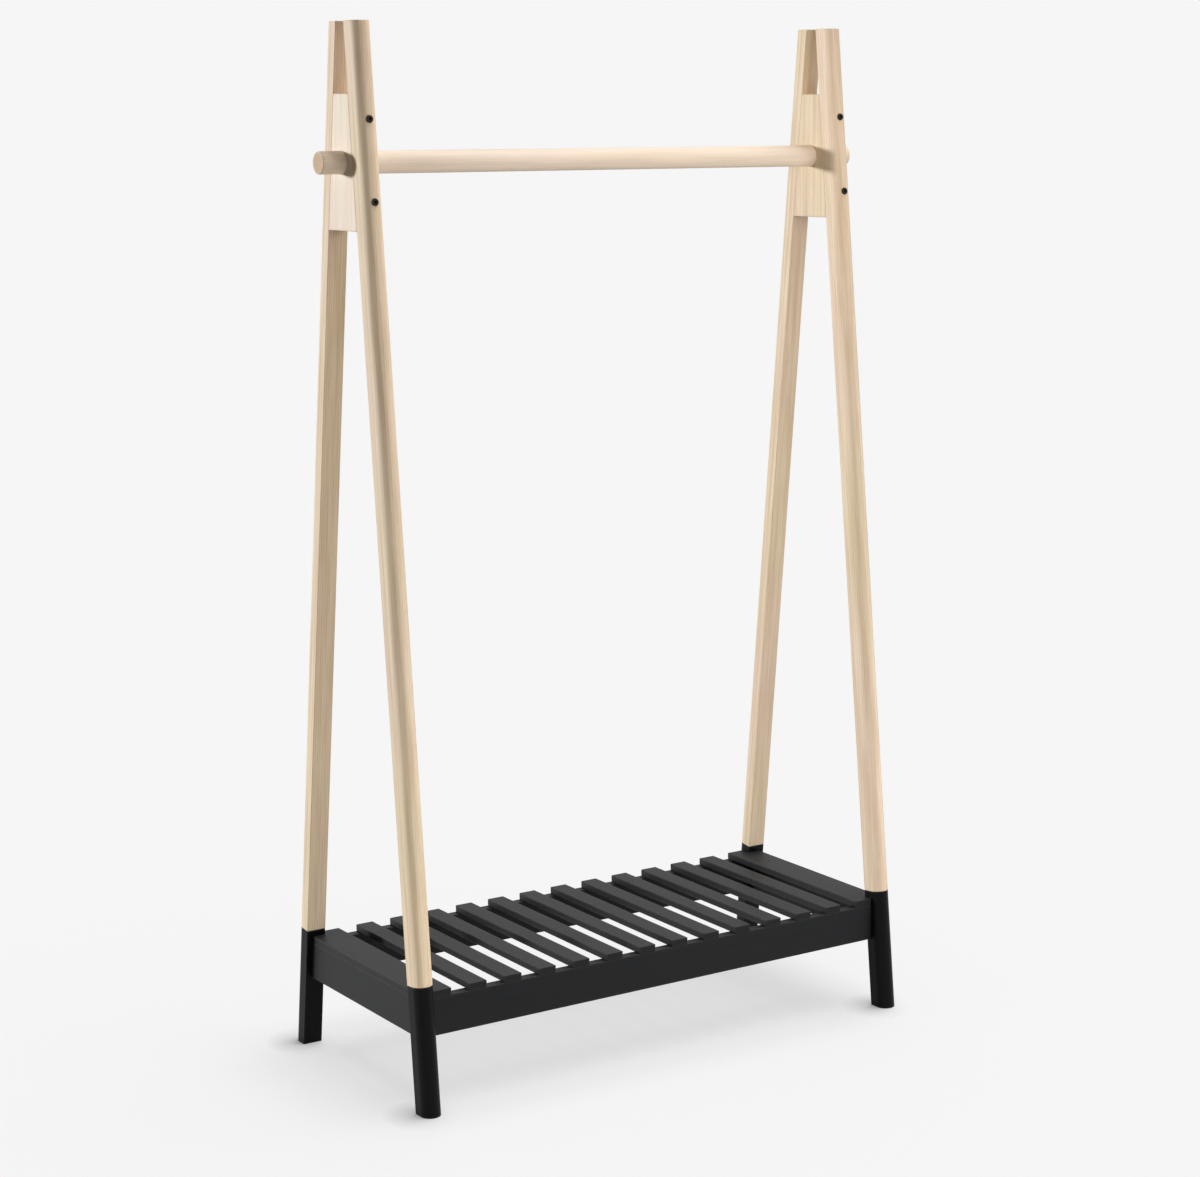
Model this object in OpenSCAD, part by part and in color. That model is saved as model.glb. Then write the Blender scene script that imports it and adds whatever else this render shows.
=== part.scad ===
// Clothes rack with two A-shaped end frames, a round hanging rail and a slatted shelf.
// Sizes are in millimetres. X runs along the rail, Y runs from front to back and Z points up.
// The origin is on the floor, midway between the end frames and between the front and rear feet.

/* [Overall] */
// Height of the rack from the floor to the leg tops
rack_h = 1500; // [1300:5:1900]
// Distance between the middle planes of the two end frames
frame_span = 813; // [520:1:1200]
// Clear gap between a front leg and a rear leg at the floor
foot_gap = 336; // [260:2:420]
// Clear gap between a front leg and a rear leg at their tops
top_gap = 22; // [10:1:60]

/* [Legs] */
// Width of a leg along the rail
leg_w = 30; // [26:1:44]
// Depth of a leg from its flat inner face to the crown of its round outer face
leg_d = 30; // [26:1:45]
// Radius of the eased edges beside a leg's flat inner face
leg_edge_r = 1.5; // [0.5:0.25:3]
// Bevel round the lower end of a pale upper leg, where it meets the dark lower leg
leg_end_bevel = 1.5; // [0.5:0.25:3]
// Height at which the dark lower leg meets the pale upper leg, on the leg's middle line
lower_leg_h = 180; // [176:1:260]

/* [Hanging rail] */
// Diameter of the hanging rail
rail_d = 32; // [22:0.5:40]
// Length of the hanging rail that stands out past each end frame
rail_stub = 36.5; // [10:0.5:120]
// Distance from the leg tops down to the axis of the hanging rail
rail_drop = 192; // [160:1:300]
// Radius of the eased edge at each end of the hanging rail
rail_end_r = 2; // [0.5:0.5:8]
// Clearance on the diameter between the hanging rail and its bore
rail_fit = 0.3; // [0.2:0.05:0.8]

/* [Head block] */
// Height of the wedge-shaped block that joins the legs at the rail
block_h = 187; // [150:1:260]
// Radius of the eased edges along the top and the bottom of the block
block_edge_r = 1.5; // [0.5:0.25:4]
// Height between the two bolts in each leg, where they enter the block
bolt_spacing = 112; // [80:1:140]
// Diameter of the bolts through the legs
bolt_d = 6; // [5:0.5:8]
// Length of a bolt below its head
bolt_len = 40; // [34:1:44]
// Diameter of a bolt head
bolt_head_d = 10; // [9:0.5:14]
// Height of a bolt head
bolt_head_h = 6; // [4:0.5:7]
// Height of a bolt head that stands out of the round face of the leg
bolt_head_out = 1.5; // [0.5:0.25:2.5]
// Distance across the flats of the hexagon socket in a bolt head
socket_w = 4; // [3:0.5:5]
// Depth of the hexagon socket in a bolt head
socket_depth = 3; // [2:0.5:3.5]
// Clearance on the diameter of a bolt's hole and of the recess round its head
bolt_fit = 0.5; // [0.3:0.1:1]
// Outer diameter of the threaded insert that holds a bolt
insert_d = 10; // [9:0.5:12]
// Length of the threaded insert that holds a bolt
insert_len = 15; // [14:0.5:17]

/* [Leg joint] */
// Diameter of the stud that joins an upper leg to a lower leg
stud_d = 8; // [6:0.5:10]
// Length of the stud in the upper leg
stud_up = 25; // [12:1:60]
// Length of the stud in the lower leg
stud_down = 19; // [17:1:22]
// Outer diameter of the threaded insert in the top of a lower leg
stud_insert_d = 12; // [10:0.5:16]
// Length of the threaded insert in the top of a lower leg
stud_insert_len = 16; // [12:1:17]

/* [Shelf] */
// Height of the top of the slats above the floor
shelf_h = 170; // [130:1:174]
// Thickness of a slat
slat_t = 10; // [9:0.5:16]
// Number of slats between the two end slats
slat_count = 12; // [6:1:20]
// Width of a slat
slat_w = 28; // [16:0.5:45]
// Width of an end slat, which is notched round the legs
end_slat_w = 51.5; // [34:0.5:80]
// Clearance between an end slat's notch and the leg
notch_fit = 0.4; // [0.2:0.1:0.8]
// Height of the aprons under the slats
apron_h = 55; // [50:1:80]
// Thickness of the aprons
apron_t = 15; // [14:0.5:18]
// How far a long apron's outer face stands out from the legs' inner faces at the top of the slats
apron_reach = 16; // [15.5:0.25:20]
// Distance from a leg's outer side face in to the outer face of a side apron
side_inset = 9.5; // [4:0.5:11]
// Radius of the eased long edges of slats and aprons
board_edge_r = 1; // [0.5:0.25:2]

/* [Dowels] */
// Diameter of the dowels between the aprons and the legs
dowel_d = 6; // [5:0.5:7]
// Length of the dowels between the aprons and the legs
dowel_len = 36; // [20:1:40]
// Height between one dowel of a joint and the next
dowel_pitch = 24; // [16:1:28]
// Height of the lowest dowel above the bottom of the aprons
dowel_rise = 8; // [5:0.5:11]
// Least height from a dowel's axis up to the studs and to the top of the aprons
dowel_edge = 5; // [4:0.5:8]
// Diameter of the pins between the slats and the aprons
pin_d = 6; // [4:0.5:8]
// Length of a pin in the apron
pin_down = 10; // [6:0.5:12]
// Length of a pin in the slat
pin_up = 7; // [4:0.5:7.5]
// Distance from the middle of a side apron to each of its pins
side_pin_y = 70; // [30:1:110]
// Clearance on the diameter of the holes for dowels, pins and inserts
dowel_fit = 0.2; // [0.1:0.05:0.4]
// Free depth past the end of a dowel, pin, stud or bolt in its blind hole
end_gap = 1; // [0.5:0.25:1.25]

/* [Hidden] */
$fn = 64;
PALE_WOOD = "#e3cfb1";
BLACK_PAINT = "#232527";
BLACK_STEEL = "#17140f";
BRIGHT_STEEL = "#9a9c9e";
DOWEL_WOOD = "#c8a878";

// Side -1 is left and 1 is right. Row -1 is front and 1 is rear.
SIDES = [["left", -1], ["right", 1]];
ROWS = [["front", -1], ["rear", 1]];
function corner_name(s, r, piece) = str(s[0], "_", r[0], "_", piece);
function slat_name(i) = str("slat_", i < 10 ? "0" : "", i);

// How far a cut runs past the face that it opens
over = 1;
// Lean of the legs from the upright
lean_slope = (foot_gap - top_gap) / 2 / rack_h;
lean = atan(lean_slope);
// Distance from the middle of the rack to the legs' inner faces at height z
function half_gap(z) = foot_gap / 2 - z * lean_slope;
// Place on the leg's own length of the joint between lower and upper leg
joint_s = (lower_leg_h - leg_d / 2 * sin(lean)) / cos(lean);
// Spare length at both ends of a leg before its level cuts
leg_spare = leg_d;
// Radius of the round outer face of a leg, which spans its whole width
leg_round_r = leg_w / 2;
leg_side_x = frame_span / 2 - leg_w / 2;
leg_outer_x = frame_span / 2 + leg_w / 2;

rail_h = rack_h - rail_drop;
rail_len = 2 * (leg_outer_x + rail_stub);
block_z0 = rail_h - block_h / 2;
block_z1 = rail_h + block_h / 2;
bolt_heights = [rail_h - bolt_spacing / 2, rail_h + bolt_spacing / 2];
// Depth of the seat under a bolt head, from the crown of the leg's round face
bolt_seat = bolt_head_h - bolt_head_out;
// Distance from the crown of the leg's round face to the tip of a bolt
bolt_tip = bolt_seat + bolt_len;

slat_z0 = shelf_h - slat_t;
apron_z0 = slat_z0 - apron_h;
apron_y = half_gap(shelf_h) + apron_reach;
apron_mid_y = apron_y - apron_t / 2;
side_apron_x = leg_outer_x - side_inset;
side_mid_x = side_apron_x - apron_t / 2;
end_slat_x = side_apron_x - end_slat_w;
slat_gap = (2 * end_slat_x - slat_count * slat_w) / (slat_count + 1);
function slat_x(i) = -end_slat_x - slat_w / 2 + i * (slat_w + slat_gap);
notch_x = leg_side_x - notch_fit;
notch_y = half_gap(shelf_h) - notch_fit;
// End slats are pinned midway between their inner edge and the notch
end_pin_x = (end_slat_x + notch_x) / 2;
// Dowels of a long apron stand midway between the leg's inner face and the apron's outer face
long_dowel_y = (half_gap(apron_z0) + apron_y) / 2;
// Height of the lower end of the studs' holes in the lower legs
stud_z0 = lower_leg_h - (stud_down + end_gap) * cos(lean);
// A corner's dowels fill the height under the studs, in turn in the long and the side apron
dowel_top = min(slat_z0, stud_z0) - dowel_edge;
dowel_z = [for (z = [apron_z0 + dowel_rise : dowel_pitch / 2 : dowel_top]) z];
long_dowel_z = [for (i = [0 : 2 : len(dowel_z) - 1]) dowel_z[i]];
side_dowel_z = [for (i = [1 : 2 : len(dowel_z) - 1]) dowel_z[i]];

// Shapes used by several pieces

// Rectangle from one corner with all four corners rounded
module eased_rect(w, h, r) {
    translate([r, 0]) square([w - 2 * r, h]);
    translate([0, r]) square([w, h - 2 * r]);
    for (x = [r, w - r], y = [r, h - r]) translate([x, y]) circle(r = r);
}

// Moves a shape from the leg's own frame to its place in the rack.
// In that frame the flat inner face lies on y = 0, the round face points to -Y and Z runs up the leg.
module at_leg(side, row) {
    translate([side * frame_span / 2, 0, 0])
        mirror([0, row > 0 ? 1 : 0, 0])
            translate([0, -foot_gap / 2, 0])
                rotate([-lean, 0, 0]) children();
}

// Moves a shape to a head bolt's axis: z = 0 on the crown of the leg, z = leg_d on the block
module at_bolt(height) {
    translate([0, -leg_d, height / cos(lean)]) rotate([-90, 0, 0]) children();
}

// Moves a shape to the stud's axis: z = 0 where the lower leg meets the upper leg
module at_joint() {
    translate([0, -leg_d / 2, joint_s]) children();
}

// Section of a leg: flat inside, flat on both sides and half round outside
module leg_section() {
    straight = leg_d - leg_round_r;
    translate([0, -straight]) circle(r = leg_round_r);
    translate([-leg_w / 2, -straight]) square([leg_w, straight - leg_edge_r]);
    translate([leg_edge_r - leg_w / 2, -straight]) square([leg_w - 2 * leg_edge_r, straight]);
    for (x = [leg_edge_r - leg_w / 2, leg_w / 2 - leg_edge_r])
        translate([x, -leg_edge_r]) circle(r = leg_edge_r);
}

// The space that a leg's beveled lower end fills, from s0 up along the leg's own frame.
// A cone bevels the half-round face and flat cuts bevel the two sides and the inner face.
module beveled_end(s0, length, bevel) {
    straight = leg_d - leg_round_r;
    translate([0, 0, s0]) intersection() {
        union() {
            translate([0, -straight, 0]) {
                cylinder(r1 = leg_round_r - bevel, r2 = leg_round_r, h = bevel);
                translate([0, 0, bevel]) cylinder(r = leg_round_r, h = length - bevel);
            }
            rotate([90, 0, 0]) linear_extrude(straight) polygon([
                [bevel - leg_w / 2, 0],
                [leg_w / 2 - bevel, 0],
                [leg_w / 2, bevel],
                [leg_w / 2, length],
                [-leg_w / 2, length],
                [-leg_w / 2, bevel]
            ]);
        }
        translate([-leg_w, 0, 0]) rotate([90, 0, 90]) linear_extrude(2 * leg_w) polygon([
            [-leg_d - over, 0],
            [-bevel, 0],
            [0, bevel],
            [0, length],
            [-leg_d - over, length]
        ]);
    }
}

// Leg from s0 to s1 along its own length, cut level with the floor and with the rack's top
module leg_length(side, row, s0, s1) {
    intersection() {
        at_leg(side, row) translate([0, 0, s0]) linear_extrude(s1 - s0) leg_section();
        translate([-frame_span, -foot_gap, 0]) cube([2 * frame_span, 2 * foot_gap, rack_h]);
    }
}

// Wedge that fills the space between the legs' inner faces from z0 to z1, w wide from x
module wedge_between_legs(x, w, z0, z1) {
    translate([x, 0, 0]) rotate([90, 0, 90]) linear_extrude(w)
        polygon([
            [-half_gap(z0), z0],
            [half_gap(z0), z0],
            [half_gap(z1), z1],
            [-half_gap(z1), z1]
        ]);
}

// Dowels along X between a long apron and a leg, or their holes
module long_dowels(side, row, fit, spare) {
    for (z = long_dowel_z)
        translate([side * leg_side_x, row * long_dowel_y, z])
            rotate([0, 90, 0])
                cylinder(d = dowel_d + fit, h = dowel_len + 2 * spare, center = true);
}

// Dowels along Y between a side apron and a leg, or their holes
module side_dowels(side, row, fit, spare) {
    for (z = side_dowel_z)
        translate([side * side_mid_x, row * half_gap(z), z])
            rotate([90, 0, 0])
                cylinder(d = dowel_d + fit, h = dowel_len + 2 * spare, center = true);
}

// One upright pin between a slat and an apron, or its hole
module pin(x, y, fit, spare) {
    translate([x, y, slat_z0 - pin_down - spare])
        cylinder(d = pin_d + fit, h = pin_down + pin_up + 2 * spare);
}

// Pins of one ordinary slat
module slat_pair(i, fit, spare) {
    for (row = [-1, 1]) pin(slat_x(i), row * apron_mid_y, fit, spare);
}

// Pins of one end slat: two in the long aprons and two in the side apron
module end_slat_set(side, fit, spare) {
    for (row = [-1, 1]) {
        pin(side * end_pin_x, row * apron_mid_y, fit, spare);
        pin(side * side_mid_x, row * side_pin_y, fit, spare);
    }
}

// End frames

module upper_leg(side, row) {
    top_s = rack_h / cos(lean) + leg_spare;
    color(PALE_WOOD) difference() {
        intersection() {
            leg_length(side, row, joint_s, top_s);
            at_leg(side, row) beveled_end(joint_s, top_s - joint_s, leg_end_bevel);
        }
        at_leg(side, row) {
            for (z = bolt_heights) at_bolt(z) {
                translate([0, 0, -over]) cylinder(d = bolt_d + bolt_fit, h = leg_d + 2 * over);
                translate([0, 0, -over]) cylinder(d = bolt_head_d + bolt_fit, h = bolt_seat + over);
            }
            at_joint() translate([0, 0, -over])
                cylinder(d = stud_d + dowel_fit, h = stud_up + end_gap + over);
        }
    }
}

module lower_leg(side, row) {
    color(BLACK_PAINT) difference() {
        leg_length(side, row, -leg_spare, joint_s);
        at_leg(side, row) at_joint() {
            translate([0, 0, -stud_insert_len])
                cylinder(d = stud_insert_d + dowel_fit, h = stud_insert_len + over);
            translate([0, 0, -stud_down - end_gap])
                cylinder(d = stud_d + dowel_fit, h = stud_down + end_gap);
        }
        long_dowels(side, row, dowel_fit, end_gap);
        side_dowels(side, row, dowel_fit, end_gap);
    }
}

module head_block(side) {
    x0 = side * frame_span / 2 - leg_w / 2;
    color(PALE_WOOD) difference() {
        intersection() {
            wedge_between_legs(x0, leg_w, block_z0, block_z1);
            translate([x0, foot_gap / 2, block_z0]) rotate([90, 0, 0])
                linear_extrude(foot_gap) eased_rect(leg_w, block_h, block_edge_r);
        }
        translate([side * frame_span / 2, 0, rail_h]) rotate([0, 90, 0])
            cylinder(d = rail_d + rail_fit, h = leg_w + 2 * over, center = true);
        for (row = [-1, 1]) at_leg(side, row)
            for (z = bolt_heights) at_bolt(z) {
                translate([0, 0, leg_d - over])
                    cylinder(d = insert_d + dowel_fit, h = insert_len + over);
                cylinder(d = bolt_d + bolt_fit, h = bolt_tip + end_gap);
            }
    }
}

module head_bolt() {
    socket_r = socket_w / 2 / cos(30);
    difference() {
        union() {
            translate([0, 0, -bolt_head_out]) cylinder(d = bolt_head_d, h = bolt_head_h);
            cylinder(d = bolt_d, h = bolt_tip);
        }
        translate([0, 0, -bolt_head_out - over])
            cylinder(r = socket_r, h = socket_depth + over, $fn = 6);
    }
}

module head_bolts(side) {
    color(BLACK_STEEL)
        for (row = [-1, 1]) at_leg(side, row)
            for (z = bolt_heights) at_bolt(z) head_bolt();
}

module threaded_insert(outer_d, bore_d, length) {
    difference() {
        cylinder(d = outer_d, h = length);
        translate([0, 0, -over]) cylinder(d = bore_d + dowel_fit, h = length + 2 * over);
    }
}

module block_inserts(side) {
    color(BRIGHT_STEEL)
        for (row = [-1, 1]) at_leg(side, row)
            for (z = bolt_heights) at_bolt(z)
                translate([0, 0, leg_d]) threaded_insert(insert_d, bolt_d, insert_len);
}

module leg_joint_studs() {
    color(BRIGHT_STEEL)
        for (s = SIDES, r = ROWS) at_leg(s[1], r[1]) at_joint()
            translate([0, 0, -stud_down]) cylinder(d = stud_d, h = stud_down + stud_up);
}

module leg_joint_inserts() {
    color(BRIGHT_STEEL)
        for (s = SIDES, r = ROWS) at_leg(s[1], r[1]) at_joint()
            translate([0, 0, -stud_insert_len])
                threaded_insert(stud_insert_d, stud_d, stud_insert_len);
}

module hanging_rail() {
    r = rail_d / 2;
    color(PALE_WOOD)
        translate([-rail_len / 2, 0, rail_h]) rotate([0, 90, 0])
            rotate_extrude() {
                square([r - rail_end_r, rail_len]);
                translate([0, rail_end_r]) square([r, rail_len - 2 * rail_end_r]);
                for (z = [rail_end_r, rail_len - rail_end_r])
                    translate([r - rail_end_r, z]) circle(r = rail_end_r);
            }
}

// Shelf

module long_apron(row) {
    y0 = row > 0 ? apron_y - apron_t : -apron_y;
    color(BLACK_PAINT) difference() {
        translate([-leg_side_x, y0, apron_z0]) rotate([90, 0, 90])
            linear_extrude(2 * leg_side_x) eased_rect(apron_t, apron_h, board_edge_r);
        for (side = [-1, 1]) {
            long_dowels(side, row, dowel_fit, end_gap);
            pin(side * end_pin_x, row * apron_mid_y, dowel_fit, end_gap);
        }
        for (i = [1:slat_count]) pin(slat_x(i), row * apron_mid_y, dowel_fit, end_gap);
    }
}

module side_apron(side) {
    x0 = side > 0 ? side_apron_x - apron_t : -side_apron_x;
    color(BLACK_PAINT) difference() {
        intersection() {
            translate([x0, foot_gap / 2, apron_z0]) rotate([90, 0, 0])
                linear_extrude(foot_gap) eased_rect(apron_t, apron_h, board_edge_r);
            wedge_between_legs(x0 - over, apron_t + 2 * over, apron_z0 - over, slat_z0 + over);
        }
        for (row = [-1, 1]) {
            side_dowels(side, row, dowel_fit, end_gap);
            pin(side * side_mid_x, row * side_pin_y, dowel_fit, end_gap);
        }
    }
}

// A board from front to back with its left edge at x0
module slat_board(x0, w) {
    translate([x0, apron_y, slat_z0]) rotate([90, 0, 0])
        linear_extrude(2 * apron_y) eased_rect(w, slat_t, board_edge_r);
}

module end_slat(side) {
    x0 = side > 0 ? end_slat_x : -side_apron_x;
    notch_w = side_apron_x - notch_x;
    color(BLACK_PAINT) difference() {
        slat_board(x0, end_slat_w);
        for (row = [-1, 1])
            translate([
                side > 0 ? notch_x : -side_apron_x - over,
                row > 0 ? notch_y : -apron_y - over,
                slat_z0 - over
            ])
                cube([notch_w + over, apron_y - notch_y + over, slat_t + 2 * over]);
        end_slat_set(side, dowel_fit, end_gap);
    }
}

module slat(i) {
    color(BLACK_PAINT) difference() {
        slat_board(slat_x(i) - slat_w / 2, slat_w);
        slat_pair(i, dowel_fit, end_gap);
    }
}

// Hidden joinery of the shelf

module apron_dowels() {
    color(DOWEL_WOOD)
        for (s = SIDES, r = ROWS) {
            long_dowels(s[1], r[1], 0, 0);
            side_dowels(s[1], r[1], 0, 0);
        }
}

module slat_pins() {
    color(DOWEL_WOOD) {
        for (i = [1:slat_count]) slat_pair(i, 0, 0);
        for (s = SIDES) end_slat_set(s[1], 0, 0);
    }
}

for (s = SIDES, r = ROWS)
    upper_leg(s[1], r[1]);
for (s = SIDES, r = ROWS)
    lower_leg(s[1], r[1]);
head_block(-1);  // left_head_block
head_block(1);  // right_head_block
hanging_rail();
head_bolts(-1);  // left_head_bolts
head_bolts(1);  // right_head_bolts
block_inserts(-1);  // left_block_inserts
block_inserts(1);  // right_block_inserts
leg_joint_studs();
leg_joint_inserts();
long_apron(-1);  // front_apron
long_apron(1);  // rear_apron
side_apron(-1);  // left_apron
side_apron(1);  // right_apron
end_slat(-1);  // left_end_slat
end_slat(1);  // right_end_slat
for (i = [1:slat_count])
    slat(i);
apron_dowels();
slat_pins();
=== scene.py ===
"""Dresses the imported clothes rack: detailed pieces, procedural materials, camera, lights and floor."""
import math
import random

import bpy
from mathutils import Matrix, Vector

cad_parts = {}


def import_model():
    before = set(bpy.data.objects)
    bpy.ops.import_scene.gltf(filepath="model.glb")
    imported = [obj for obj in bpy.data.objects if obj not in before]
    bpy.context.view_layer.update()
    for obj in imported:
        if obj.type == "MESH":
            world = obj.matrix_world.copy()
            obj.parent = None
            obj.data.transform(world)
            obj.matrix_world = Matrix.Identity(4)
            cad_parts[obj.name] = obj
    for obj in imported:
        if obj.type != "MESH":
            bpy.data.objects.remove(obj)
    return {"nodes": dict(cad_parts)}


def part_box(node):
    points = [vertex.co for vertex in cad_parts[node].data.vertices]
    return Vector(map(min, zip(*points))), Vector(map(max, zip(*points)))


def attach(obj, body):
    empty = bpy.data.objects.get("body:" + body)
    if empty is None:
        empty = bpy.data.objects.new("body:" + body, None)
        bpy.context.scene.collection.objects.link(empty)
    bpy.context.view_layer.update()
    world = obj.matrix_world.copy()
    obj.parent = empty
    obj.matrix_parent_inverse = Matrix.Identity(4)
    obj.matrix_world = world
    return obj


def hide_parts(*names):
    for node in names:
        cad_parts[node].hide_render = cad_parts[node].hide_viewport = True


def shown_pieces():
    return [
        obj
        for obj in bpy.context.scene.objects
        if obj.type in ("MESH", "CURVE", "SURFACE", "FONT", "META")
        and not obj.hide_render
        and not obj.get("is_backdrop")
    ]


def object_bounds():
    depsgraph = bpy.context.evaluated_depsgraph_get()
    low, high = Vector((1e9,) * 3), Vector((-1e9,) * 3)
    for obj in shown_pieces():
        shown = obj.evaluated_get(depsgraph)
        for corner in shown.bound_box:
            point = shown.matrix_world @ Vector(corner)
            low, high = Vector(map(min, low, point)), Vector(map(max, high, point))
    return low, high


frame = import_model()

cad_low, cad_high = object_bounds()
mm = 0.001

# Sizes of the legs, the bolts and the clearances, as in the solids
LEG_W = 30 * mm
LEG_D = 30 * mm
FOOT_GAP = 336 * mm
TOP_GAP = 22 * mm
BOLT_SPACING = 112 * mm
BOLT_D = 6 * mm
BOLT_LEN = 40 * mm
BOLT_HEAD_D = 10 * mm
BOLT_HEAD_H = 6 * mm
BOLT_HEAD_OUT = 1.5 * mm
BOLT_FIT = 0.5 * mm
SOCKET_W = 4 * mm
SOCKET_DEPTH = 3 * mm
RAIL_FIT = 0.3 * mm
NOTCH_FIT = 0.4 * mm

# Sizes that the frame gives
RACK_H = cad_high.z
UPPER_LOW, UPPER_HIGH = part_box("right_front_upper_leg")
FRAME_X = (UPPER_LOW.x + UPPER_HIGH.x) / 2
LEAN_SLOPE = (FOOT_GAP - TOP_GAP) / 2 / RACK_H
LEAN = math.atan(LEAN_SLOPE)
# Place along the leg, from the floor, at which the pale upper leg starts on the black lower one
JOINT_S = UPPER_LOW.z / math.cos(LEAN)
RAIL_LOW, RAIL_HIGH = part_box("hanging_rail")
RAIL_R = (RAIL_HIGH.z - RAIL_LOW.z) / 2
RAIL_Z = (RAIL_HIGH.z + RAIL_LOW.z) / 2
BLOCK_LOW, BLOCK_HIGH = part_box("right_head_block")
BOLT_HEIGHTS = [RAIL_Z - BOLT_SPACING / 2, RAIL_Z + BOLT_SPACING / 2]

# Radius of the legs' inner edges, crisper than in the solids, as the photograph shows them
LEG_EDGE_R = 0.8 * mm
# Radii of the other eased edges
SMALL_EASE = 0.7 * mm
BOARD_EASE = 1.0 * mm
JOINT_EASE = 1.5 * mm
RAIL_EASE = 2.0 * mm
BOLT_EASE = 0.8 * mm
# How far the mouth of a counterbore and of a block's bore is widened
HOLE_FLARE = 0.3 * mm
BORE_FLARE = 0.5 * mm
# Distance from an edge at which its wear has faded out
WEAR_REACH = 2.5 * mm
# Smallest radius of a corner that has been inset
SHARP = 0.02 * mm
# Weight of large faces in the shading of eased edges, where 50 is even
FACE_WEIGHT = 80
# Nearest and furthest place of a piece from the middle of its log in millimetres, and the length of
# the log in metres
LOG_NEAR = 45
LOG_FAR = 90
LOG_LENGTH = 40

# Faces round an eased edge, the round side of a leg, a block, the rail and a bolt
ARC_STEPS = 4
ROUND_STEPS = 40
BLOCK_STEPS = 96
RAIL_STEPS = 64
BOLT_STEPS = 48
# Distance between the rings along a leg, and how far they keep from its top and its bolt holes
LEG_STATION = 45 * mm
TOP_CLEAR = 15 * mm
HOLE_CLEAR = 10 * mm
# Equal lengths that the rings along the rail divide it into
RAIL_LENGTHS = 12

# Signs of the places along X and Y
SIDES = {"left": -1, "right": 1}
ROWS = {"front": -1, "rear": 1}

# Turns of the rack's axes that lay the grain along Z, X or Y
GRAIN_Z = Matrix.Identity(3)
GRAIN_X = Matrix(((0, 1, 0), (0, 0, 1), (1, 0, 0)))
GRAIN_Y = Matrix(((0, 0, 1), (1, 0, 0), (0, 1, 0)))


def half_gap(z):
    """Distance from the middle of the rack to the legs' inner faces at height z."""
    return FOOT_GAP / 2 - z * LEAN_SLOPE


def add_object(name, data):
    """New object in the scene."""
    made = bpy.data.objects.new(name, data)
    bpy.context.scene.collection.objects.link(made)
    return made


# Colours

def rgb(code):
    """Linear colour of a hex code as it looks on a screen."""
    parts = [int(code[i:i + 2], 16) / 255 for i in (1, 3, 5)]
    return tuple(c / 12.92 if c <= 0.04045 else ((c + 0.055) / 1.055) ** 2.4 for c in parts) + (1,)


BLACK = rgb("#000000")
BACKGROUND = rgb("#f6f6f6")


# Shader building

class Shader:
    """Nodes of a material or a world under construction, with short calls to add and join them."""

    def __init__(self, owner, output):
        owner.use_nodes = True
        self.owner = owner
        self.tree = owner.node_tree
        self.tree.nodes.clear()
        self.output = self.node(output)

    def node(self, kind, inputs=None, **settings):
        """New node. Inputs are fed by their name or number, and settings are its own properties."""
        made = self.tree.nodes.new("ShaderNode" + kind)
        for key, value in settings.items():
            setattr(made, key, value)
        for key, value in (inputs or {}).items():
            self.feed(made.inputs[key], value)
        return made

    def feed(self, socket, value):
        """Joins another node's output to a socket, or sets the socket to a constant."""
        if isinstance(value, bpy.types.NodeSocket):
            self.tree.links.new(value, socket)
        else:
            socket.default_value = value

    def math(self, operation, a, b):
        return self.node("Math", {0: a, 1: b}, operation=operation).outputs[0]

    def total(self, *values):
        result = values[0]
        for value in values[1:]:
            result = self.math("ADD", result, value)
        return result

    def attribute(self, name, kind="Fac"):
        return self.node("Attribute", attribute_name=name).outputs[kind]

    def drawn_out(self, grain, share):
        """The grain's vector with its length shrunk to a share, which draws patterns out along it."""
        return self.node("VectorMath", {0: grain, 1: (1, 1, share)}, operation="MULTIPLY").outputs[0]

    def noise(self, vector, scale, detail, roughness):
        return self.node("TexNoise", {
            "Vector": vector, "Scale": scale, "Detail": detail, "Roughness": roughness,
        }).outputs["Fac"]

    def speckle(self, scale):
        """Fine noise in the object's own space."""
        return self.noise(self.node("TexCoord").outputs["Object"], scale, 3.0, 0.6)

    def spread(self, value, low, high, to_low=0.0, to_high=1.0):
        """Takes a value between low and high to one between to_low and to_high, held at both ends."""
        return self.node("MapRange", {
            "Value": value, "From Min": low, "From Max": high, "To Min": to_low, "To Max": to_high,
        }).outputs["Result"]

    def worn(self, pattern, low, high, least, most):
        """Wear at the edges, from a least to a most share as a pattern goes from low to high."""
        return self.math("MULTIPLY", self.attribute("edge"), self.spread(pattern, low, high, least, most))

    def mix(self, factor, a, b, blend="MIX"):
        """Colour a where the factor is 0 and colour b, or their blend, where it is 1."""
        made = self.node("Mix", {"Factor": factor}, data_type="RGBA", blend_type=blend)
        self.feed(made.inputs[6], a)
        self.feed(made.inputs[7], b)
        return made.outputs[2]

    def bump(self, height, distance, strength):
        return self.node("Bump", {
            "Height": height, "Distance": distance, "Strength": strength,
        }).outputs["Normal"]

    def choose(self, factor, a, b):
        """Shader a where the factor is 0 and shader b where it is 1."""
        return self.node("MixShader", {0: factor, 1: a, 2: b}).outputs[0]

    def seen(self):
        """1 for rays that show the background itself: camera, glossy and transmission rays."""
        path = self.node("LightPath")
        shown = self.math("MAXIMUM", path.outputs["Is Camera Ray"], path.outputs["Is Glossy Ray"])
        return self.math("MAXIMUM", shown, path.outputs["Is Transmission Ray"])

    def show(self, shape):
        """Joins the finished shader to the output and gives the material or the world."""
        self.feed(self.output.inputs["Surface"], shape)
        return self.owner

    def surface(self, **inputs):
        """Finishes a material with a principled shader, whose inputs are named with underscores."""
        names = {key.replace("_", " "): value for key, value in inputs.items()}
        return self.show(self.node("BsdfPrincipled", names).outputs[0])


def new_material(name):
    return Shader(bpy.data.materials.new("dressed_" + name), "OutputMaterial")


# Materials

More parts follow.
